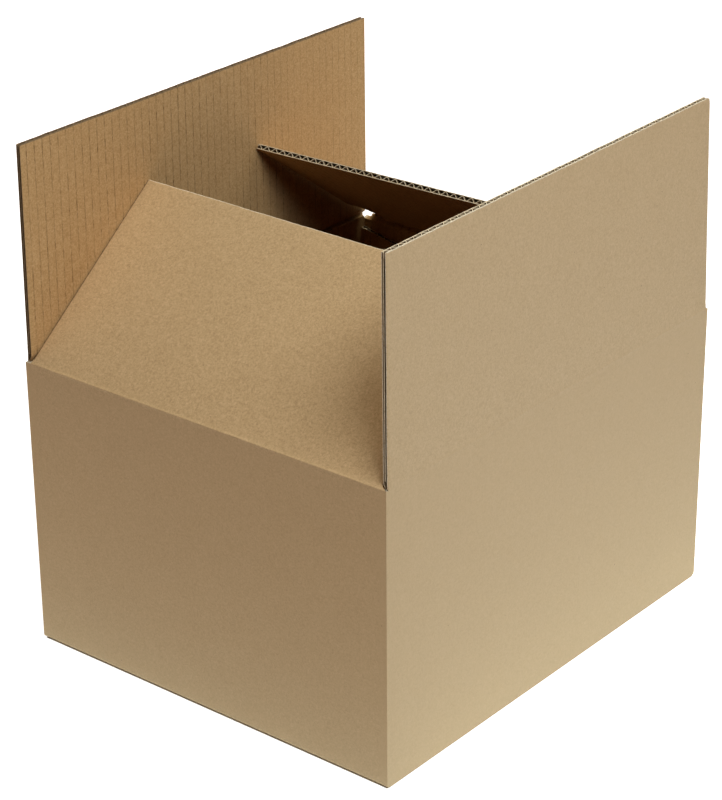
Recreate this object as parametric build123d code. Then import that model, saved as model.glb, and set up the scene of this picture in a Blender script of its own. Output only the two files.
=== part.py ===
from build123d import *
import math
import os

# An open shipping box of single-wall corrugated board, standing on its closed bottom with its
# four top flaps free. The real box is one blank, cut, scored, folded and glued at one corner.
# Millimetres, +Z up, +Y from the front end wall to the back one, +X to the right side wall,
# origin on the floor under the middle of the box.

# Room inside the closed box
inside_length = 350.0
inside_width = 300.0
inside_height = 200.0

# Board: an outer and an inner liner with a fluted sheet between them
board = 4.0
liner = 0.35
flute_sheet = 0.3
flute_pitch = 7.16

# Folds of the walls and the bottom
corner_bend = 2.5
corner_crease = 0.8
bottom_bend = 2.0
end_wall_lift = 1.2

# Scores of the top flaps: a ridge of pressed liner on the outside, a V groove on the inside
ridge_radius = 0.5
ridge_root = 0.2
ridge_clearance = 0.15
score_band = 1.5
mitre_angle = 45.0

# Slots, seams and the glued corner
seam = 1.0
bottom_slot = 0.8
side_flap_slot = 2.0
front_flap_play = 0.4
back_flap_play_left = 0.4
back_flap_play_right = 2.4
glue_tab_width = 35.0
glue_tab_setback = 6.0
glue_tab_slope = 12.0

# How each flap stands, in degrees inward from upright
front_lean = 51.5
back_lean = 53.7
right_lean = 0.4
left_lean = 0.2

# The far top corner of the right flap is worn round
worn_corner = 4.5

# Cutting shapes run this far past what they cut
overrun = 1.0

# Sizes that follow
outer_length = inside_length + 2 * board
outer_width = inside_width + 2 * board
half_length = outer_length / 2
half_width = outer_width / 2
floor_height = 2 * board
fold_height = floor_height + inside_height + board
flap_length = (outer_width - seam) / 2
rim_height = fold_height - ridge_root
flap_start = ridge_radius + ridge_clearance
mitre_depth = board / math.tan(math.radians(mitre_angle))
mitre_end = flap_start + mitre_depth
flute_start = mitre_end + score_band
lean_room_right = flap_length * math.sin(math.radians(right_lean))
lean_room_left = flap_length * math.sin(math.radians(left_lean))


def edge_round(radius, length):
    """The sliver between a square edge and its rounding, along X, for an edge at y = 0, z = 0
    with the material on the +Y and +Z sides."""
    corner = Rectangle(radius + overrun, radius + overrun, align=(Align.MAX, Align.MAX))
    corner = Pos(radius, radius) * corner - Pos(radius, radius) * Circle(radius)
    return extrude(Plane.YZ * corner, length / 2, both=True)


def wall_plan():
    """The four walls from above: one strip of board, bent at three corners and overlapped at the
    fourth, where the back wall's cut edge meets the fold of the glue tab."""
    ring = RectangleRounded(outer_width, outer_length, corner_bend)
    ring = ring - RectangleRounded(inside_width, inside_length, corner_crease)
    tab_fold = Pos(-half_width, half_length - board)
    back_wall_end = Rectangle(corner_bend, board, align=Align.MIN)
    fold_square = Rectangle(corner_bend, corner_bend, align=(Align.MIN, Align.MAX))
    fold_sliver = fold_square - Pos(corner_bend, -corner_bend) * Circle(corner_bend)
    return ring - tab_fold * back_wall_end - tab_fold * fold_sliver


def glue_tab():
    """The strip folded in from the left wall and glued flat on the inside of the back wall."""
    low = floor_height + glue_tab_setback
    high = rim_height - mitre_depth - glue_tab_setback
    slope = glue_tab_width * math.tan(math.radians(glue_tab_slope))
    near = -half_width + board
    far = near + glue_tab_width
    face = Polygon((near, low), (far, low + slope), (far, high - slope), (near, high))
    return extrude(Plane.XZ * face, -board).moved(Pos(0, half_length - 2 * board, 0))


def bottom_flaps():
    """The two side flaps of the bottom meet under the middle; the two end flaps lie on them."""
    side_reach = half_width - board - seam / 2
    side_run = outer_length - 2 * (board + bottom_slot)
    end_reach = flap_length - board
    end_run = outer_width - 2 * (board + bottom_slot)
    plates = []
    for turn in (0, 180):
        outer = Box(side_reach, side_run, board, align=(Align.MAX, Align.CENTER, Align.MIN))
        plates.append(outer.moved(Pos(half_width - board, 0, 0)).rotate(Axis.Z, turn))
        inner = Box(end_run, end_reach, board, align=(Align.CENTER, Align.MAX, Align.MIN))
        plates.append(inner.moved(Pos(0, half_length - board, board)).rotate(Axis.Z, turn))
    return plates


def top_flap(start, end, worn):
    """A flap standing upright on its score, which runs along X from start to end at y = 0, z = 0.
    The outer liner is at y = 0 and the inner one at y = board. The flutes run up from the score
    and are open at the free edge and at both side edges."""
    width = end - start
    flutes = round(width / flute_pitch)
    pitch = width / flutes
    rise = board - 2 * liner
    half_sheet = flute_sheet / 2 * math.hypot(rise, pitch / 2) / (pitch / 2)

    # Fluted section: the side edges cut the fluted sheet half-way up a flute
    steps = range(-1, 2 * flutes + 1)
    crest_line = [(start + (step + 1 / 2) * pitch / 2, liner + rise * (step % 2)) for step in steps]
    lower = [(x, y - half_sheet) for x, y in crest_line]
    upper = [(x, y + half_sheet) for x, y in reversed(crest_line)]
    strip = Pos(start, 0) * Rectangle(width, board, align=Align.MIN)
    sheet = Polygon(*lower, *upper) & strip
    outer_liner = Pos(start, 0) * Rectangle(width, liner, align=Align.MIN)
    inner_liner = Pos(start, board - liner) * Rectangle(width, liner, align=Align.MIN)
    section = outer_liner + sheet + inner_liner
    fluted = extrude(Pos(0, 0, flute_start) * section, flap_length - flute_start)

    # Pressed foot of the flap, mitred on the inside so that the flap can fold flat
    foot = Polygon((0, flap_start), (board, mitre_end), (board, flute_start), (0, flute_start))
    flap = fluted + extrude(Plane.YZ * foot, width).moved(Pos(start, 0, 0))
    if worn:
        rounding = edge_round(worn_corner, 2 * (board + overrun))
        rounding = rounding.rotate(Axis.X, 180).rotate(Axis.Z, -90)
        flap = flap - rounding.moved(Pos(end, 0, flap_length))
    return flap


def place(shape, lean, turn, reach):
    """Lean a flap or a ridge inward about its score and set it on the wall at that turn about Z."""
    leaning = shape.rotate(Axis.X, -lean)
    return leaning.moved(Pos(0, -reach, fold_height)).rotate(Axis.Z, turn)


# Ends of each score, along its own wall from left to right as seen from outside the box
left_edge = -half_width + board + lean_room_left
right_edge = half_width - board - lean_room_right
side_edge = half_length - side_flap_slot
front_ends = (left_edge + front_flap_play, right_edge - front_flap_play)
back_ends = (back_flap_play_right - right_edge, -left_edge - back_flap_play_left)
side_ends = (-side_edge, side_edge)

# Each flap: turn about Z, distance of its wall's outer face, ends of its score, lean, worn corner
flaps = {
    "front_flap": (0, half_length, front_ends, front_lean, False),
    "right_flap": (90, half_width, side_ends, right_lean, True),
    "back_flap": (180, half_length, back_ends, back_lean, False),
    "left_flap": (-90, half_width, side_ends, left_lean, False),
}

# Walls, bottom and glue tab: the part of the blank that no longer moves. The end walls stop a
# little above the floor, and all the bottom folds are round on the outside.
body = extrude(wall_plan(), rim_height) + glue_tab()
gap_width = outer_width - 2 * board
for turn in (0, 180):
    gap = Box(gap_width, board + overrun, end_wall_lift, align=(Align.CENTER, Align.MAX, Align.MIN))
    body = body - gap.moved(Pos(0, -half_length + board, 0)).rotate(Axis.Z, turn)
    end_round = edge_round(bottom_bend, gap_width)
    body = body - end_round.moved(Pos(0, -half_length, end_wall_lift)).rotate(Axis.Z, turn)
    side_round = edge_round(bottom_bend, outer_length + 2 * overrun)
    body = body - side_round.moved(Pos(0, -half_width, 0)).rotate(Axis.Z, turn + 90)
body = body + bottom_flaps()

# The mouth: the walls are mitred on the inside below the scores, and each score is a thin ridge
mouth_base = Pos(0, 0, rim_height - mitre_depth) * Rectangle(inside_width, inside_length)
body = body - extrude(mouth_base, mitre_depth + overrun, taper=-mitre_angle)
nodes = {}
for name, (turn, reach, (start, end), lean, worn) in flaps.items():
    ridge = extrude(Plane.YZ * Circle(ridge_radius), end - start).moved(Pos(start, 0, 0))
    body = body + place(ridge, 0, turn, reach)
    nodes[name] = place(top_flap(start, end, worn), lean, turn, reach)
nodes["box_body"] = body

os.makedirs("parts", exist_ok=True)
for name, shape in nodes.items():
    export_step(shape.solid(), f"parts/{name}.step")
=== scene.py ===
import math
import bmesh
import bpy
from mathutils import Matrix, Vector, noise


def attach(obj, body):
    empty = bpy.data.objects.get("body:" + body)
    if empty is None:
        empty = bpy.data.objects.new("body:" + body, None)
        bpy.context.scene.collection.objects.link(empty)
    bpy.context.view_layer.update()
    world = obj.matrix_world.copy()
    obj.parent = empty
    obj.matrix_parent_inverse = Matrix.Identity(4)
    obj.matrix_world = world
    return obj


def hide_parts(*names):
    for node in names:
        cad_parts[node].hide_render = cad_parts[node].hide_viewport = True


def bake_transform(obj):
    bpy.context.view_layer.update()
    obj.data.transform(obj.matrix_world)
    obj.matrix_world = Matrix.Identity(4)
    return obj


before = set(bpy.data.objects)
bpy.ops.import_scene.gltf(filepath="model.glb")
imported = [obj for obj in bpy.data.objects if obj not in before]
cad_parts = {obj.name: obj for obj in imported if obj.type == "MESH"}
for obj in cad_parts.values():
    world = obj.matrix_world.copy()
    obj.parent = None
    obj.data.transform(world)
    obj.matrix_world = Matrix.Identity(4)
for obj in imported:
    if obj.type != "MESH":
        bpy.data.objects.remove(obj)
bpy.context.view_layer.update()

# Walls of the box: one strip of single-wall corrugated board, brown kraft paper on both sides.
# It is scored and folded at three corners, the fourth is glued, and its flutes run upright.
# Metres, +Z up, front wall at -Y, right wall at +X, floor at z = 0.
board = 0.004
half_width = 0.154
half_length = 0.179
room_width = half_width - board
room_length = half_length - board
rim_height = 0.2118
mitre_base = rim_height - board
corner_bend = 0.0025
corner_round = 0.0033
corner_crease = 0.0008
bottom_bend = 0.002
side_bend = 0.001
end_wall_lift = 0.0012
lift_fade = 0.02
lift_start = 0.35
flute_pitch = 0.00716
joint_slot = 0.0079
joint_slot_depth = 0.0027
side_score_depth = 0.0015


def smooth_step(low, high, value):
    share = min(1.0, max(0.0, (value - low) / (high - low)))
    return share * share * (3.0 - 2.0 * share)


def kraft_paper(name, colour, dark, pale, rough, fibre, relief,
                glue_line=0.0, depth_shade=1.0, wall_calm=1.0, sheen=0.1):
    """Kraft paper: cloudy tone, curled fibres, a few specks, and pressed glue lines on the flutes."""
    paper = bpy.data.materials.new(name)
    paper.use_nodes = True
    nodes = paper.node_tree.nodes
    links = paper.node_tree.links
    shader = nodes["Principled BSDF"]
    coordinates = nodes.new("ShaderNodeTexCoord")
    place = coordinates.outputs["Object"]
    flute_place = coordinates.outputs["UV"]

    def node(kind, operation=None, **values):
        made = nodes.new(kind)
        if operation:
            made.operation = operation
        for key, value in values.items():
            numbered = key[0] == "i" and key[1:].isdigit()
            socket = made.inputs[int(key[1:])] if numbered else made.inputs[key]
            if hasattr(value, "is_linked"):
                links.new(value, socket)
            else:
                socket.default_value = value
        return made

    def cloud(scale, detail, shift, distortion=0.0):
        moved = node("ShaderNodeMapping", Vector=place, Location=(shift, shift * 0.7, -shift))
        made = node("ShaderNodeTexNoise", Vector=moved.outputs[0], Scale=scale, Detail=detail,
                    Roughness=0.6, Distortion=distortion)
        return made.outputs[0]

    def sums(first, second, kind="ADD"):
        return node("ShaderNodeMath", kind, i0=first, i1=second).outputs[0]

    def times(first, second):
        return sums(first, second, "MULTIPLY")

    def off_middle(value):
        return sums(value, 0.5, "SUBTRACT")

    def ranged(value, span, to_span, kind="LINEAR"):
        made = node("ShaderNodeMapRange", Value=value)
        made.interpolation_type = kind
        made.inputs["From Min"].default_value = span[0]
        made.inputs["From Max"].default_value = span[1]
        made.inputs["To Min"].default_value = to_span[0]
        made.inputs["To Max"].default_value = to_span[1]
        return made.outputs[0]

    def level_lines(scale, shift):
        off_level = off_middle(cloud(scale, detail=1.5, shift=shift, distortion=0.8))
        return ranged(sums(off_level, 0.0, "ABSOLUTE"), (0.0, 0.07), (1.0, 0.0))

    def mixed(share, first, second, kind="MIX"):
        made = node("ShaderNodeMix", i0=share)
        made.data_type = "RGBA"
        made.blend_type = kind
        links.new(first, made.inputs[6])
        if hasattr(second, "is_linked"):
            links.new(second, made.inputs[7])
        else:
            made.inputs[7].default_value = (*second, 1.0)
        return made.outputs[2]

    # Curled fibres are the level lines of two fine noises, and cloudiness comes in three sizes
    strand_share = 0.13 * fibre
    grain_share = 0.55 * fibre
    blotch_share = 0.16
    mottle_share = 0.22
    strands = sums(level_lines(scale=390.0, shift=3.1), level_lines(scale=540.0, shift=8.4), "SUBTRACT")
    grain = off_middle(cloud(scale=640.0, detail=3.0, shift=5.7))
    blotch = off_middle(cloud(scale=34.0, detail=4.0, shift=1.3))
    mottle = off_middle(cloud(scale=190.0, detail=3.0, shift=6.9))
    tone = sums(times(strands, strand_share), times(grain, grain_share))
    tone = sums(tone, times(blotch, blotch_share))
    tone = sums(tone, times(mottle, mottle_share))
    if wall_calm < 1.0:
        # The walls are smoother than the flaps, and the sides of the box smoother than its ends
        fold_band = (0.206, 0.217)
        side_band = (0.147, 0.149)
        side_calm = 0.55
        where = node("ShaderNodeSeparateXYZ", Vector=place).outputs
        smoother = ranged(where[2], fold_band, (wall_calm, 1.0))
        on_side = ranged(sums(where[0], 0.0, "ABSOLUTE"), side_band, (1.0, side_calm))
        tone = times(tone, times(smoother, on_side))
    tone = sums(tone, 0.5)
    ramp = node("ShaderNodeValToRGB", Fac=tone)
    ramp.color_ramp.elements[0].color = (*dark, 1.0)
    ramp.color_ramp.elements[1].color = (*pale, 1.0)
    ramp.color_ramp.elements.new(0.5).color = (*colour, 1.0)
    finish = ramp.outputs[0]

    # Single dark specks of bark in the pulp
    speck_share = 0.55
    bark = (dark[0] * 0.35, dark[1] * 0.3, dark[2] * 0.25)
    speck = node("ShaderNodeTexVoronoi", Vector=place, Scale=120.0)
    chosen = ranged(cloud(scale=75.0, detail=0.0, shift=9.9), (0.62, 0.66), (0.0, 1.0))
    dot = times(ranged(speck.outputs["Distance"], (0.035, 0.06), (1.0, 0.0)), chosen)
    finish = mixed(times(dot, speck_share), finish, bark)
    strand_height = 0.25
    height = sums(times(strands, strand_height), grain)

    if glue_line:
        # The liner is drawn in and darkened along each flute tip, in broken lines that fade
        # towards the back of the box
        line_span = (0.02, 0.10)
        line_depth = 1.2
        back_span = (0.02, 0.12)
        back_share = 0.45
        tip_darkening = (dark[0] * 0.3, dark[1] * 0.25, dark[2] * 0.2)
        across = node("ShaderNodeSeparateXYZ", Vector=flute_place).outputs
        from_tip = node("ShaderNodeMath", "PINGPONG", i0=across[0], i1=0.5).outputs[0]
        line = ranged(from_tip, line_span, (1.0, 0.0), "SMOOTHSTEP")
        drawn_out = node("ShaderNodeMapping", Vector=flute_place, Scale=(0.9, 0.45, 1.0)).outputs[0]
        broken = node("ShaderNodeTexNoise", Vector=drawn_out, Scale=2.6, Detail=5.0, Roughness=0.75)
        region = node("ShaderNodeTexNoise", Vector=flute_place, Scale=0.16, Detail=2.0)
        kept = times(ranged(broken.outputs[0], (0.42, 0.62), (0.08, 1.0)),
                     ranged(region.outputs[0], (0.32, 0.68), (0.35, 1.1)))
        towards_back = node("ShaderNodeSeparateXYZ", Vector=place).outputs[1]
        kept = times(kept, ranged(towards_back, back_span, (1.0, back_share)))
        line = times(line, kept)
        finish = mixed(times(line, glue_line), finish, tip_darkening)
        height = sums(height, times(line, line_depth), "SUBTRACT")

    if depth_shade < 1.0:
        # Painted shade: down inside the box the paper is painted darker and browner, standing in for the
        # deep shade in there
        depth_span = (0.12, 0.225)
        shade_tint = (1.0, 0.75, 0.5)
        up = node("ShaderNodeSeparateXYZ", Vector=place).outputs[2]
        shades = [ranged(up, depth_span, (depth_shade * part, 1.0), "SMOOTHSTEP") for part in shade_tint]
        shade = node("ShaderNodeCombineXYZ", X=shades[0], Y=shades[1], Z=shades[2]).outputs[0]
        finish = mixed(1.0, finish, shade, "MULTIPLY")

    rough_swing = 0.06
    bump_depth = 0.0002
    links.new(finish, shader.inputs["Base Color"])
    roughness = ranged(tone, (0.3, 0.7), (rough + rough_swing, rough - rough_swing))
    links.new(roughness, shader.inputs["Roughness"])
    shader.inputs["Specular IOR Level"].default_value = sheen
    bump = node("ShaderNodeBump", Height=height, Strength=relief, Distance=bump_depth)
    links.new(bump.outputs[0], shader.inputs["Normal"])
    return paper


outer_paper = kraft_paper("kraft_outer", (0.575, 0.39, 0.210), (0.413, 0.266, 0.134), (0.716, 0.506, 0.296),
                          rough=0.62, fibre=1.75, relief=0.24, wall_calm=0.55)
inner_paper = kraft_paper("kraft_inner", (0.538, 0.328, 0.149), (0.372, 0.212, 0.086), (0.668, 0.435, 0.228),
                          # The inner paper carries painted shade down inside the box
                          rough=0.70, fibre=1.7, relief=0.30, glue_line=0.85, depth_shade=0.45, sheen=0.05)
flute_paper = kraft_paper("kraft_flute", (0.27, 0.18, 0.10), (0.17, 0.11, 0.06), (0.35, 0.24, 0.14),
                          rough=0.75, fibre=1.4, relief=0.3)
raw_edge = kraft_paper("kraft_raw_edge", (0.80, 0.66, 0.47), (0.50, 0.37, 0.23), (0.90, 0.78, 0.60),
                       rough=0.8, fibre=2.0, relief=0.4)
papers = (outer_paper, inner_paper, flute_paper, raw_edge)
outer_face, inner_face, flute_face, cut_face = range(len(papers))
smooth_angle = math.radians(40.0)


def finished(name, shape, body, node):
    """Turns a shape into a piece on its body, in the place of a solid of the part."""
    mesh = bpy.data.meshes.new(name)
    shape.to_mesh(mesh)
    shape.free()
    for paper in papers:
        mesh.materials.append(paper)
    mesh.polygons.foreach_set("use_smooth", [True] * len(mesh.polygons))
    mesh.set_sharp_from_angle(angle=smooth_angle)
    piece = bpy.data.objects.new(name, mesh)
    bpy.context.scene.collection.objects.link(piece)
    if body:
        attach(piece, body)
    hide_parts(node)
    return piece


def board_cut(outer, inner):
    (ox, oy), (ix, iy) = outer, inner
    return [Vector((ox, oy, 0.0)), Vector((ox, oy, rim_height)),
            Vector((ix, iy, mitre_base)), Vector((ix, iy, 0.0))]


# The strip is drawn out wall by wall from the back wall's cut end, back, right, front, left
tab_line = -half_width + corner_bend
folds = [((tab_line, half_length), (tab_line, room_length)),
         ((half_width, half_length), (room_width, room_length)),
         ((half_width, -half_length), (room_width, -room_length)),
         ((-half_width, -half_length), (-room_width, -room_length)),
         ((-half_width, room_length), (-room_width, room_length))]
strip = bmesh.new()
ends = board_cut(*folds[0])
front_end = strip.faces.new([strip.verts.new(point) for point in ends])
for fold in folds[1:]:
    grown = bmesh.ops.extrude_face_region(strip, geom=[front_end])["geom"]
    front_end = next(part for part in grown if isinstance(part, bmesh.types.BMFace))
    drawn = board_cut(*fold)
    for vert in front_end.verts:
        nearest = min(range(len(ends)), key=lambda k: (vert.co - ends[k]).length)
        vert.co = drawn[nearest]
    ends = drawn
bmesh.ops.recalc_face_normals(strip, faces=strip.faces)

# Three corners are folded, round on the outside and creased inside, and one is the glue tab's fold
hair = 1e-5
dust = 1e-6
tall = 0.1


def upright_edges(shape, places):
    found = []
    for edge in shape.edges:
        a, b = edge.verts[0].co, edge.verts[1].co
        if abs(a.z - b.z) > tall and any((a.xy - Vector(p)).length < hair for p in places):
            found.append(edge)
    return found


folded_outer = [outer for outer, inner in folds[1:4]]
folded_inner = [inner for outer, inner in folds[1:4]]
tab_fold = [folds[4][0]]
for corners, radius, steps in ((folded_outer, corner_round, 5), (tab_fold, corner_bend, 4),
                               (folded_inner, corner_crease, 2)):
    bmesh.ops.bevel(strip, geom=upright_edges(strip, corners), offset=radius,
                    affect="EDGES", segments=steps, profile=0.5, material=-1)

# Columns follow the flutes, rows let the panels bulge a little, and close rows bend the bottom folds
end_wall_flutes = 42
side_wall_flutes = 49
columns_per_flute = 6
wall_rows = 24
bottom_rows = (0.0004, 0.001, 0.002)
run_play = 0.012
for span, flutes in ((2 * room_width, end_wall_flutes), (2 * room_length, side_wall_flutes)):
    runs = [edge for edge in strip.edges if abs(edge.calc_length() - span) < run_play
            and abs(edge.verts[0].co.z - edge.verts[1].co.z) < dust]
    bmesh.ops.subdivide_edges(strip, edges=runs, cuts=flutes * columns_per_flute - 1, use_grid_fill=True)
rises = [edge for edge in strip.edges if abs(edge.verts[0].co.z - edge.verts[1].co.z) > tall]
bmesh.ops.subdivide_edges(strip, edges=rises, cuts=wall_rows - 1, use_grid_fill=True)
for height in bottom_rows:
    bmesh.ops.bisect_plane(strip, geom=strip.verts[:] + strip.edges[:] + strip.faces[:], dist=dust,
                           plane_co=(0.0, 0.0, height), plane_no=(0.0, 0.0, 1.0))

# Paper on the faces: raw at the cut end and at the corners' level edges, else outer or inner liner
outer_skin = 0.0014
touch = 1e-4
edge_room = 0.001
pad_room = 0.0009
crease_room = 0.0003


def on_outside(spot):
    return abs(spot.x) > half_width - outer_skin or abs(spot.y) > half_length - outer_skin


def near_corner(spot, room):
    return abs(spot.x) > room_width - room and abs(spot.y) > room_length - room


wall_uv = strip.loops.layers.uv.new("flutes")
strip.normal_update()
for face in strip.faces:
    centre = face.calc_center_median()
    end_wall = abs(face.normal.y) > abs(face.normal.x)
    cut_end = abs(centre.x - tab_line) < touch and abs(face.normal.x) > 0.9 and centre.y > room_length
    corner_pad = face.normal.z > 0.5 and near_corner(centre, edge_room)
    if cut_end or corner_pad:
        face.material_index = cut_face
    else:
        face.material_index = outer_face if on_outside(centre) or face.normal.z < -0.9 else inner_face
    for loop in face.loops:
        spot = loop.vert.co
        loop[wall_uv].uv = ((spot.x if end_wall else spot.y) / flute_pitch, spot.z / flute_pitch)

# Panels bulge by fractions of a millimetre, and the flutes show through the liners as a faint wash
slow_bulge = 0.00022
slow_grain = 9.0
fine_bulge = 0.00010
fine_grain = 31.0
outer_wash = 0.000012
inner_wash = 0.00004
calm_sides = 0.03
calm_rim = 0.02
for vert in strip.verts:
    spot = vert.co.copy()
    outside = on_outside(spot)
    at_rim = spot.z > mitre_base - touch
    if outside:
        end_wall = abs(spot.y) > half_length - hair and abs(spot.x) < half_width - corner_round + hair
        side_wall = abs(spot.x) > half_width - hair and abs(spot.y) < half_length - corner_round + hair
    else:
        end_wall = abs(spot.y) > room_length - crease_room and abs(spot.x) < room_width - edge_room
        side_wall = abs(spot.x) > room_width - crease_room and abs(spot.y) < room_length - edge_room
    into_corner = Vector((max(0.0, abs(spot.x) - half_width + corner_round),
                          max(0.0, abs(spot.y) - half_length + corner_round)))
    # Bottom folds are round, and the end walls stop a little above the floor
    way = into_corner.normalized()
    bend = side_bend + (bottom_bend - side_bend) * way.y ** 2
    if outside and spot.z < bend:
        inward = bend - math.sqrt(max(0.0, bend ** 2 - (bend - spot.z) ** 2))
        vert.co -= Vector((math.copysign(inward * way.x, spot.x),
                           math.copysign(inward * way.y, spot.y), 0.0))
    # The slot at the glued corner is cut a little below the scores
    if at_rim and spot.x < -half_width + joint_slot and spot.y > room_length - touch:
        vert.co.z = min(spot.z, rim_height - joint_slot_depth)
    # Below the upright side flaps the board is pressed less deep than below the end flaps
    if side_wall and not outside and at_rim:
        vert.co.z = rim_height - side_score_depth
    # At the other corners the slots end on a level cut edge
    glued_corner = spot.x < 0.0 and spot.y > 0.0
    if near_corner(spot, pad_room) and at_rim and not glued_corner:
        vert.co.z = rim_height
    if spot.z < lift_fade and (end_wall or outside):
        lifted = 1.0 if end_wall else smooth_step(lift_start, 1.0, into_corner.y / corner_round)
        vert.co.z += end_wall_lift * lifted * (1.0 - spot.z / lift_fade)
    if end_wall or side_wall:
        if end_wall:
            out = Vector((0.0, math.copysign(1.0, spot.y), 0.0))
            along, reach = spot.x, room_width
        else:
            out = Vector((math.copysign(1.0, spot.x), 0.0, 0.0))
            along, reach = spot.y, room_length
        calm = smooth_step(0.0, calm_sides, reach - abs(along)) * smooth_step(0.0, calm_sides, spot.z)
        calm *= smooth_step(0.0, calm_rim, rim_height - spot.z)
        bulge = slow_bulge * noise.noise(spot * slow_grain) + fine_bulge * noise.noise(spot * fine_grain)
        wash = (outer_wash if outside else inner_wash) * math.cos(2.0 * math.pi * along / flute_pitch)
        vert.co += out * calm * (bulge + wash)
finished("walls", strip, "box_body", "box_body")

# Bottom: four flaps of the same sheet, folded in and closed. The two end flaps lie inside, and the
# two side flaps meet below them along the middle. Each shows its flutes at its cut edges.
liner = 0.00035
flute_sheet = 0.0003
sheet_swell = 1.25
bottom_slot = 0.0008
seam = 0.001
flap_length = 0.1535
side_run = room_length - bottom_slot
end_run = room_width - bottom_slot
# The knife crushes, rolls and frays the cut edges
knife_crush = 0.0002
knife_grain = 260.0
crush_side = 0.0016
crush_top = 0.0018
roll_depth = 0.0003
roll_width = 0.0008
liner_fray = 0.00015
sheet_fray = 0.00012
fray_band = (0.0003, 0.0012)
frayed_top = 0.0004
sheet_set_back = 0.0002
# The liners bulge a little, and the inner one sinks along each glue line
panel_bulge = 0.00010
panel_grain = 14.0
tip_wash = 0.00003
groove_depth = 0.00009
groove_band = (0.86, 1.0)
# The flutes lean and flatten unevenly near the free edge
flute_fade = 0.004
flute_lean = 0.5
flute_flat = 0.06
flute_flat_play = 0.10
# Rows lie close together at the score and at the free edge, where the paper bends most
score_rows = [0.0, 0.0008, 0.0018, 0.0028, 0.0038, 0.0048, 0.006, 0.0078, 0.0088, 0.014, 0.03]
middle_rows = (0.35, 0.52, 0.69, 0.84)
edge_rows = (0.006, 0.0025, 0.0013, 0.0005, 0.0)
liner_columns = 8
sheet_columns = 12


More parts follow.
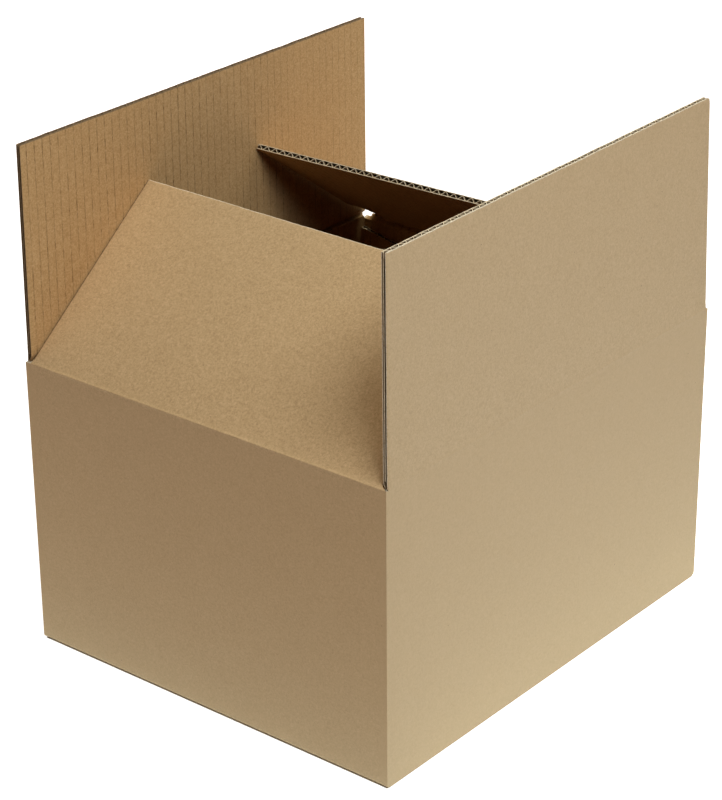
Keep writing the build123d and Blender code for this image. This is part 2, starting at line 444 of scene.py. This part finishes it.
def panel(start, end, low, high, foot=0.0, root=0.0, heel=0.0, warp=0.0, seed=0.0,
          cut=cut_face, shaded=0.0):
    """A panel of the board: x across the flutes, z along them, y from the outer to the inner liner.
    It is pressed thin from heel to foot, root is what is left there, and a strip at its start is painted
    with the dark flute paper as contact shade."""
    flutes = max(1, round((end - start) / flute_pitch))
    pitch = (end - start) / flutes
    span = high(0.5 * (start + end)) - low(0.5 * (start + end))
    marks = score_rows + [span * share for share in middle_rows] + [span - back for back in edge_rows]
    rows = [mark / span for mark in marks]
    shape = bmesh.new()
    flute_uv = shape.loops.layers.uv.new("flutes")

    def sheet(columns, shares, depth):
        last = len(shares) - 1
        grid = bmesh.ops.create_grid(shape, x_segments=columns, y_segments=last, size=1.0)["verts"]
        for vert in grid:
            x = start + (end - start) * (vert.co.x + 1.0) / 2.0
            share = shares[round((vert.co.y + 1.0) / 2.0 * last)]
            z = low(x) + (high(x) - low(x)) * share
            vert.co = Vector((x, depth(x, z), z))
        return grid

    def from_side(x):
        return min(x - start, end - x)

    def crushed(x, z, key):
        pressed = knife_crush * (0.65 + 0.5 * noise.noise(Vector((x * knife_grain, z * knife_grain, key))))
        at_side = 1.0 - smooth_step(0.0, crush_side, from_side(x))
        at_top = 1.0 - smooth_step(0.0, crush_top, high(x) - z)
        return pressed * max(at_side, at_top)

    def bulged(x, z):
        return panel_bulge * noise.noise(Vector((x * panel_grain, z * panel_grain, seed + 3.0)))

    def outer_depth(x, z):
        wash = math.cos(2.0 * math.pi * ((x - start) / pitch - 0.75))
        calm = warp * smooth_step(0.0, calm_rim, z - low(x))
        rolled = warp * roll_depth * (1.0 - smooth_step(0.0, roll_width, from_side(x)))
        return calm * (bulged(x, z) - outer_wash * wash) + crushed(x, z, seed) + rolled

    def inner_depth(x, z):
        wash = math.cos(2.0 * math.pi * ((x - start) / pitch - 0.25))
        groove = smooth_step(*groove_band, wash)
        calm = smooth_step(0.0, calm_rim, z - low(x))
        sunk = calm * (warp * bulged(x, z) + tip_wash * wash - groove_depth * groove)
        flat = board - liner - tip_wash + sunk - crushed(x, z, seed + 7.0)
        if foot:
            return liner + (flat - liner) * (root + (1.0 - root) * smooth_step(heel, foot, z - low(x)))
        return flat

    def sheet_depth(x, z):
        near = 1.0 - smooth_step(0.0, flute_fade, high(x) - z)
        lean = flute_lean * noise.noise(Vector((x * 55.0, seed, 4.0))) * near
        sway = math.sin(2.0 * math.pi * (x - start) / pitch + lean)
        reach = (board - 2 * liner - flute_sheet) / 2.0
        uneven = flute_flat_play * noise.noise(Vector((x * 90.0, seed, 9.0)))
        reach = reach * (1.0 - near * (flute_flat + uneven))
        return board / 2.0 + reach * sway

    def thick(grid, depth, faces_out, faces_in, fray_out=0.0, fray_in=0.0):
        faces = list({face for vert in grid for face in vert.link_faces})
        grown = bmesh.ops.extrude_face_region(shape, geom=faces)["geom"]
        moved = [part for part in grown if isinstance(part, bmesh.types.BMVert)]
        bmesh.ops.translate(shape, verts=moved, vec=(0.0, depth, 0.0))
        # The knife leaves the paper frayed and thicker at its cut edges
        for verts, fray in ((grid, -fray_out), (moved, fray_in)):
            for vert in verts:
                inside = min(high(vert.co.x) - vert.co.z, from_side(vert.co.x))
                vert.co.y += fray * (1.0 - smooth_step(*fray_band, inside))
        island = list({face for vert in grid for face in vert.link_faces}
                      | {part for part in grown if isinstance(part, bmesh.types.BMFace)})
        bmesh.ops.recalc_face_normals(shape, faces=island)
        for face in island:
            spot = face.calc_center_median()
            frayed = foot and high(spot.x) - spot.z < frayed_top
            if abs(face.normal.y) < 0.3 or frayed:
                face.material_index = cut
            # Painted contact shade: along its start the outer liner gets the dark flute paper
            elif faces_out == outer_face and spot.x - start < shaded:
                face.material_index = flute_face
            else:
                face.material_index = faces_out if face.normal.y < 0.0 else faces_in

    thick(sheet(flutes * liner_columns, rows, outer_depth), liner,
          outer_face, flute_face, fray_in=liner_fray)
    sheet_rows = [row for row in rows if row * span >= foot]
    sheet_rows = sheet_rows[:-1] + [1.0 - sheet_set_back / span]
    thick(sheet(flutes * sheet_columns, sheet_rows, sheet_depth), flute_sheet * sheet_swell,
          flute_face, flute_face, fray_out=sheet_fray, fray_in=sheet_fray)
    thick(sheet(flutes * liner_columns, rows, inner_depth), liner,
          flute_face, inner_face, fray_out=liner_fray)
    for face in shape.faces:
        for loop in face.loops:
            spot = loop.vert.co
            loop[flute_uv].uv = ((spot.x - start) / pitch - 0.25, spot.z / pitch + seed)
    return shape


def level(value):
    return lambda x: value


def laid(across, inward, along, place):
    """Where the x, y and z directions of a panel and its origin come to lie."""
    rows = [(across[axis], inward[axis], along[axis], place[axis]) for axis in range(3)]
    return Matrix((*rows, (0.0, 0.0, 0.0, 1.0)))


right_side = laid((0.0, 1.0, 0.0), (0.0, 0.0, 1.0), (-1.0, 0.0, 0.0), (room_width, 0.0, 0.0))
front_side = laid((1.0, 0.0, 0.0), (0.0, 0.0, 1.0), (0.0, 1.0, 0.0), (0.0, -room_length, board))
for name, turn in (("bottom_right", 0.0), ("bottom_left", math.pi)):
    shape = panel(-side_run, side_run, level(0.0), level(room_width - seam / 2), seed=21.0 + turn)
    shape.transform(Matrix.Rotation(turn, 4, "Z") @ right_side)
    bmesh.ops.recalc_face_normals(shape, faces=shape.faces)
    finished(name, shape, "box_body", "box_body")
for name, turn in (("bottom_front", 0.0), ("bottom_back", math.pi)):
    shape = panel(-end_run, end_run, level(0.0), level(flap_length - board), seed=31.0 + turn)
    shape.transform(Matrix.Rotation(turn, 4, "Z") @ front_side)
    bmesh.ops.recalc_face_normals(shape, faces=shape.faces)
    finished(name, shape, "box_body", "box_body")

# Glue tab: a strip of the left wall, folded round the last corner and glued flat on the inside of
# the back wall. Its ends are cut at a slope so that it stays clear of the scores.
tab_width = 0.035
tab_low = 0.014
tab_high = 0.2018
tab_slope = math.tan(math.radians(12.0))
glue_film = 0.00005


def tab_bottom(x):
    return tab_low + tab_slope * x


def tab_top(x):
    return tab_high - tab_slope * x


shape = panel(0.0, tab_width, tab_bottom, tab_top, seed=41.0)
shape.transform(laid((1.0, 0.0, 0.0), (0.0, -1.0, 0.0), (0.0, 0.0, 1.0),
                     (-room_width, room_length - glue_film, 0.0)))
bmesh.ops.recalc_face_normals(shape, faces=shape.faces)
finished("glue_tab", shape, "box_body", "box_body")

# Top flaps: the upper part of the sheet, free to turn about its scores. A score is pressed into the
# inside, which leaves a thin ridge of liner on the outside; flutes are open at every cut edge.
fold_height = 0.212
flap_start = 0.00058
worn_corner = 0.0045
knife_round = 0.0006
# Width of the painted contact shade along the front flap's left end
contact_shade = 0.0007
# The free edge wavers under the knife: depth, fineness and key of each wave
edge_waves = ((0.00022, 70.0, 0.5), (0.00010, 310.0, 5.5))
# The flaps that lean in are pressed flat at the foot, and the upright ones less
leaning_foot = {"foot": 0.0056, "root": 0.0, "heel": 0.0004}
upright_foot = {"foot": 0.0042, "root": 0.45, "heel": -0.0012}
# Two feet are pressed thinner at their right end: how much, up to what height and how far in
front_press = (0.3, (0.005, 0.009), (0.0008, 0.003))
back_press = (0.85, (0.014, 0.03), (0.010, 0.026))
# The slot of the glued corner runs into the back flap's foot
notch_depth = 0.0056
notch_reach = 0.016
notch_top = (0.0083, 0.0094)
# The liner over a score: its rows from the wall up to the flap, its bend and its ridge
skin_rows = [-0.0035, -0.0022, -0.0014, -0.0009, -0.0006, -0.00035, -0.00015]
skin_rows = skin_rows + [0.0] + [-row for row in reversed(skin_rows)]
skin_columns = 4
skin_thick = 0.0002
skin_lift = 0.00003
skin_fall = 0.00006
skin_reach = 0.0035
bend_half = 0.0009
ridge_half = 0.0016
ridge_swell = 0.22
ridge_play = 0.5
# It stops short of the glued corner, and at the front it runs on round the right corner
back_skin_short = 0.0062
front_skin_over = 0.0042
front_skin_taper = 0.0036
front_taper_rise = (0.0004, 0.003)
# Turn about Z, distance of the wall, both ends of the score, lean inward from upright at both ends
# in degrees, radius of the worn corner, and how far the score stands proud
top_flaps = {
    "front_flap": (0.0, half_length, -0.14906, 0.14853, 51.33, 52.89, 0.0, 0.0003),
    "right_flap": (90.0, half_width, -0.177, 0.177, 0.29, 1.91, worn_corner, 0.00014),
    "back_flap": (180.0, half_length, -0.14653, 0.1493, 52.51, 54.23, 0.0, 0.0003),
    "left_flap": (-90.0, half_width, -0.177, 0.177, -0.10, 0.80, 0.0, 0.00014),
}


def lean_over(vert, angle):
    y, z = vert.co.y, vert.co.z
    vert.co.y = y * math.cos(angle) + z * math.sin(angle)
    vert.co.z = z * math.cos(angle) - y * math.sin(angle)


def press_foot(vert, inside, amount, up_to, far_in):
    pressed = (1.0 - smooth_step(*up_to, vert.co.z)) * (1.0 - smooth_step(*far_in, inside))
    vert.co.y *= 1.0 - amount * pressed


for index, (name, values) in enumerate(top_flaps.items()):
    turn, reach, start, end, lean_start, lean_end, worn, proud = values
    upright = reach == half_width
    seed = 50.0 + 10.0 * index

    def free_edge(x):
        drop = 0.0
        for depth, fineness, key in edge_waves:
            drop += depth * (1.0 + noise.noise(Vector((x * fineness, seed, key))))
        rounds = ((x - (end - worn), worn), (start + knife_round - x, knife_round),
                  (x - (end - knife_round), knife_round))
        for past, radius in rounds:
            if radius and past > 0.0:
                drop = max(drop, radius - math.sqrt(max(0.0, radius ** 2 - past ** 2)))
        return flap_length - drop

    def lean_at(x):
        share = (x - start) / (end - start)
        return math.radians(lean_start + (lean_end - lean_start) * share)

    shape = panel(start, end, level(flap_start), free_edge, warp=1.0, seed=seed,
                  cut=flute_face if name == "left_flap" else cut_face,
                  shaded=contact_shade if name == "front_flap" else 0.0,
                  **(upright_foot if upright else leaning_foot))
    for vert in shape.verts:
        lean = lean_at(vert.co.x)
        inside = end - vert.co.x
        if name == "front_flap":
            press_foot(vert, inside, *front_press)
        if name == "back_flap":
            press_foot(vert, inside, *back_press)
            below_top = 1.0 - smooth_step(*notch_top, vert.co.z)
            vert.co.x -= notch_depth * max(0.0, 1.0 - inside / notch_reach) * below_top
        lean_over(vert, lean)
    placed = Matrix.Rotation(math.radians(turn), 4, "Z") @ Matrix.Translation((0.0, -reach, fold_height))
    shape.transform(placed)
    bmesh.ops.recalc_face_normals(shape, faces=shape.faces)
    finished(name + "_board", shape, name, name)

    # The score itself: outer liner running on from the wall to the flap over a low pressed ridge
    columns = round((end - start) / flute_pitch) * skin_columns
    last_row = len(skin_rows) - 1
    reach_across = half_length if upright else half_width
    skin = bmesh.new()
    grid = bmesh.ops.create_grid(skin, x_segments=columns, y_segments=last_row, size=1.0)["verts"]
    for vert in grid:
        mark = skin_rows[round((vert.co.y + 1.0) / 2.0 * last_row)]
        skin_end = end
        if name == "back_flap":
            skin_end = end - back_skin_short
        if name == "front_flap":
            skin_end = end + front_skin_over - front_skin_taper * smooth_step(*front_taper_rise, mark)
        x = start + (skin_end - start) * (vert.co.x + 1.0) / 2.0
        swell = 1.0 + ridge_swell * math.cos(2.0 * math.pi * (x - start) / flute_pitch)
        swell += ridge_play * noise.noise(Vector((x * 170.0, seed, mark * 300.0)))
        rise = proud * swell * (1.0 - smooth_step(0.0, ridge_half, abs(mark)))
        rise = rise + skin_lift - skin_fall * smooth_step(ridge_half, skin_reach, abs(mark))
        bent = max(0.0, abs(x) - reach_across + corner_round)
        inward = corner_round - math.sqrt(max(0.0, corner_round ** 2 - bent ** 2))
        vert.co = Vector((x, inward - rise, mark))
    grown = bmesh.ops.extrude_face_region(skin, geom=list(skin.faces))["geom"]
    under = [part for part in grown if isinstance(part, bmesh.types.BMVert)]
    bmesh.ops.translate(skin, verts=under, vec=(0.0, skin_thick, 0.0))
    bmesh.ops.recalc_face_normals(skin, faces=skin.faces)
    skin_uv = skin.loops.layers.uv.new("flutes")
    for face in skin.faces:
        for loop in face.loops:
            loop[skin_uv].uv = (loop.vert.co.x / flute_pitch, loop.vert.co.z / flute_pitch)
    for vert in skin.verts:
        lean_over(vert, lean_at(vert.co.x) * smooth_step(-bend_half, bend_half, vert.co.z))
    skin.transform(placed)
    score = finished(name + "_score", skin, None, "box_body")
    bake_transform(score)

# Studio: a plain white floor that runs out of sight and glows softly round the box, as a light table
# does. The floor and the world are white to the camera, and the floor keeps the box's shadow.
floor_half = 8.0
floor_white = (0.86, 0.86, 0.86, 1.0)
table_centre = (0.0, 0.08)
table_glow = 0.82
table_reach = 0.33
table_tint = (0.73, 1.0, 1.12, 1.0)
contact_reach = 0.004
contact_span = (0.12, 0.52)
stage = bmesh.new()
bmesh.ops.create_grid(stage, x_segments=1, y_segments=1, size=floor_half)
floor_mesh = bpy.data.meshes.new("floor")
stage.to_mesh(floor_mesh)
stage.free()
floor = bpy.data.objects.new("floor", floor_mesh)
bpy.context.scene.collection.objects.link(floor)
white = bpy.data.materials.new("white_floor")
white.use_nodes = True
floor_tree = white.node_tree
floor_tree.nodes.clear()


def joined(tree, kind, operation, first, second):
    made = tree.nodes.new(kind)
    if operation:
        made.operation = operation
    for socket, value in zip(made.inputs, (first, second)):
        if hasattr(value, "is_linked"):
            tree.links.new(value, socket)
        else:
            socket.default_value = value
    return made.outputs[0]


def math_of(tree, operation, first, second=0.0):
    return joined(tree, "ShaderNodeMath", operation, first, second)


def seen_directly(tree):
    """One where the white is looked at: by the camera, in a reflection or through something clear."""
    path = tree.nodes.new("ShaderNodeLightPath").outputs
    direct = math_of(tree, "MAXIMUM", path["Is Camera Ray"], path["Is Transmission Ray"])
    return math_of(tree, "MAXIMUM", direct, path["Is Glossy Ray"])


ground = floor_tree.nodes.new("ShaderNodeTexCoord")
apart = floor_tree.nodes.new("ShaderNodeSeparateXYZ")
floor_tree.links.new(ground.outputs["Object"], apart.inputs[0])


def distance_from(centre, half_sides):
    aside = []
    for axis in (0, 1):
        off_centre = math_of(floor_tree, "SUBTRACT", apart.outputs[axis], centre[axis])
        off_centre = math_of(floor_tree, "ABSOLUTE", off_centre)
        aside.append(math_of(floor_tree, "SUBTRACT", off_centre, half_sides[axis]))
    return math_of(floor_tree, "MAXIMUM", *aside)


fall = floor_tree.nodes.new("ShaderNodeMapRange")
fall.interpolation_type = "SMOOTHSTEP"
floor_tree.links.new(distance_from(table_centre, (half_width, half_length)), fall.inputs["Value"])
fall.inputs["From Min"].default_value = 0.0
fall.inputs["From Max"].default_value = table_reach
fall.inputs["To Min"].default_value = table_glow
fall.inputs["To Max"].default_value = 0.0
direct = seen_directly(floor_tree)

# Painted contact shadow: the floor's glow is cut out under the box and dimmed by ambient occlusion where the
# box all but touches it
open_air = floor_tree.nodes.new("ShaderNodeAmbientOcclusion")
open_air.inputs["Distance"].default_value = contact_reach
open_air.samples = 8
contact = floor_tree.nodes.new("ShaderNodeMapRange")
floor_tree.links.new(open_air.outputs["AO"], contact.inputs["Value"])
contact.inputs["From Min"].default_value = contact_span[0]
contact.inputs["From Max"].default_value = contact_span[1]
beside = distance_from((0.0, 0.0), (half_width - side_bend, half_length - side_bend))
strength = math_of(floor_tree, "MAXIMUM", fall.outputs[0], direct)
strength = math_of(floor_tree, "MULTIPLY", strength, math_of(floor_tree, "GREATER_THAN", beside))
strength = math_of(floor_tree, "MULTIPLY", strength, contact.outputs[0])
tint = floor_tree.nodes.new("ShaderNodeMix")
tint.data_type = "RGBA"
floor_tree.links.new(direct, tint.inputs[0])
tint.inputs[6].default_value = table_tint
tint.inputs[7].default_value = (1.0, 1.0, 1.0, 1.0)
glow = floor_tree.nodes.new("ShaderNodeEmission")
floor_tree.links.new(tint.outputs[2], glow.inputs["Color"])
floor_tree.links.new(strength, glow.inputs["Strength"])
matt = floor_tree.nodes.new("ShaderNodeBsdfDiffuse")
matt.inputs["Color"].default_value = floor_white
lit_floor = joined(floor_tree, "ShaderNodeAddShader", None, matt.outputs[0], glow.outputs[0])
surface = floor_tree.nodes.new("ShaderNodeOutputMaterial")
floor_tree.links.new(lit_floor, surface.inputs[0])
floor_mesh.materials.append(white)

world = bpy.data.worlds.new("studio")
world.use_nodes = True
bpy.context.scene.world = world
sky_tree = world.node_tree
sky_tree.nodes.clear()
air = sky_tree.nodes.new("ShaderNodeBackground")
sky_tree.links.new(seen_directly(sky_tree), air.inputs["Strength"])
sky = sky_tree.nodes.new("ShaderNodeOutputWorld")
sky_tree.links.new(air.outputs[0], sky.inputs[0])


def soft_box(name, place, aim, size, power, colour):
    lamp = bpy.data.lights.new(name, "AREA")
    lamp.shape = "RECTANGLE"
    lamp.size, lamp.size_y = size
    lamp.energy = power
    lamp.color = colour
    holder = bpy.data.objects.new(name, lamp)
    holder.location = place
    holder.rotation_euler = (Vector(aim) - Vector(place)).to_track_quat("-Z", "Y").to_euler()
    bpy.context.scene.collection.objects.link(holder)


# Soft boxes round the box, most of them large, and two low strips close to the floor
box_middle = (0.0, 0.0, 0.2)
right_wall = (half_width, 0.0, 0.1)
left_corner = (-half_width, -half_length, 0.1)
large = (0.7, 0.7)
soft_box("key_box", (0.885, -0.432, 1.461), box_middle, large, 14.1, (0.945, 1.0, 1.0))
soft_box("top_box", (0.0, 0.513, 1.610), box_middle, large, 11.8, (0.95, 0.95, 0.78))
soft_box("side_box", (1.26, 0.588, 0.762), box_middle, large, 1.9, (1.04, 1.0, 1.1))
soft_box("front_box", (0.0, -1.477, 0.46), box_middle, large, 1.3, (1.15, 0.6, 0.4))
soft_box("low_box", (0.62, 0.1, 0.05), right_wall, (0.9, 0.08), 0.32, (0.55, 1.0, 1.8))
soft_box("back_box", (-1.2, 0.9, 0.55), box_middle, large, 2.5, (1.5, 0.92, 0.76))
soft_box("left_box", (-0.45, -0.55, 0.08), left_corner, (0.3, 0.08), 0.16, (1.0, 1.0, 1.05))

# Camera: at the photograph's place, with a long lens that looks down on the near corner of the box.
# Its turn, height, roll, distance and shifts were fitted to the box's edges in the photograph.
view_turn = math.radians(39.3607)
view_height = math.radians(25.0447)
view_roll = math.radians(-0.5036)
view_distance = 1.87463
shift_right = -0.0103295
shift_up = 0.147223
focal_pixels = 2619.74
picture_height = 800.0
sensor = 36.0
back = Vector((math.sin(view_turn) * math.cos(view_height),
               -math.cos(view_turn) * math.cos(view_height), math.sin(view_height)))
right = Vector((math.cos(view_turn), math.sin(view_turn), 0.0))
up = back.cross(right)
level_right = right * math.cos(view_roll) + up * math.sin(view_roll)
level_up = up * math.cos(view_roll) - right * math.sin(view_roll)
lens = bpy.data.cameras.new("camera")
lens.sensor_width = sensor
lens.lens = focal_pixels * sensor / picture_height
camera = bpy.data.objects.new("camera", lens)
stand = back * view_distance + level_right * shift_right + level_up * shift_up
camera.matrix_world = laid(level_right, level_up, back, stand)
bpy.context.scene.collection.objects.link(camera)
bpy.context.scene.camera = camera
bpy.context.scene.view_settings.view_transform = "Standard"
